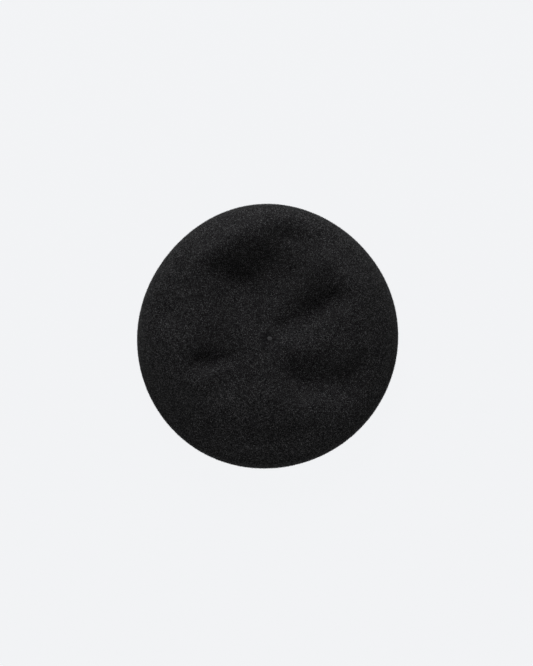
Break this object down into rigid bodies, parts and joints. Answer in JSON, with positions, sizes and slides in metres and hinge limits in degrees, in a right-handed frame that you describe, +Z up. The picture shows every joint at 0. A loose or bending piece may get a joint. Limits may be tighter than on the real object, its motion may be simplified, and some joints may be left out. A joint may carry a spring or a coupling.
{
  "type": "beret",
  "caption": "Round seamless wool felt beret with a puffed rim, sunken crown, ribbon sweatband and hanging blank care label, lying opening down.",
  "frame": {"origin": "centre of the beret's underside, on the surface it lies on", "axes": "+Z up through the crown, -Y towards the wearer's back, -X towards the wearer's left"},
  "size_m": [0.28, 0.28, 0.052],
  "materials": {
    "wool_felt": "matt, fulled and brushed",
    "wool_yarn": "matt, fulled",
    "grosgrain_ribbon": "ribbed, slight sheen",
    "sewing_thread": "spun polyester",
    "satin_label": "satin"
  },
  "bodies": {
    "hat": {"felt_body": "wool_felt", "crown_closing_yarn": "wool_yarn", "sweatband": "grosgrain_ribbon", "band_needle_thread": "sewing_thread", "band_bobbin_thread": "sewing_thread", "band_join_stitches": "sewing_thread"},
    "label": {"care_label": "satin_label", "label_stitches": "sewing_thread"}
  },
  "joints": [
    {"name": "label_flap", "type": "hinge", "parent": "hat", "child": "label", "pos_m": [-0.09016, 0, 0.0273], "axis": [0, 1, 0], "range_deg": [0, 90]}
  ]
}
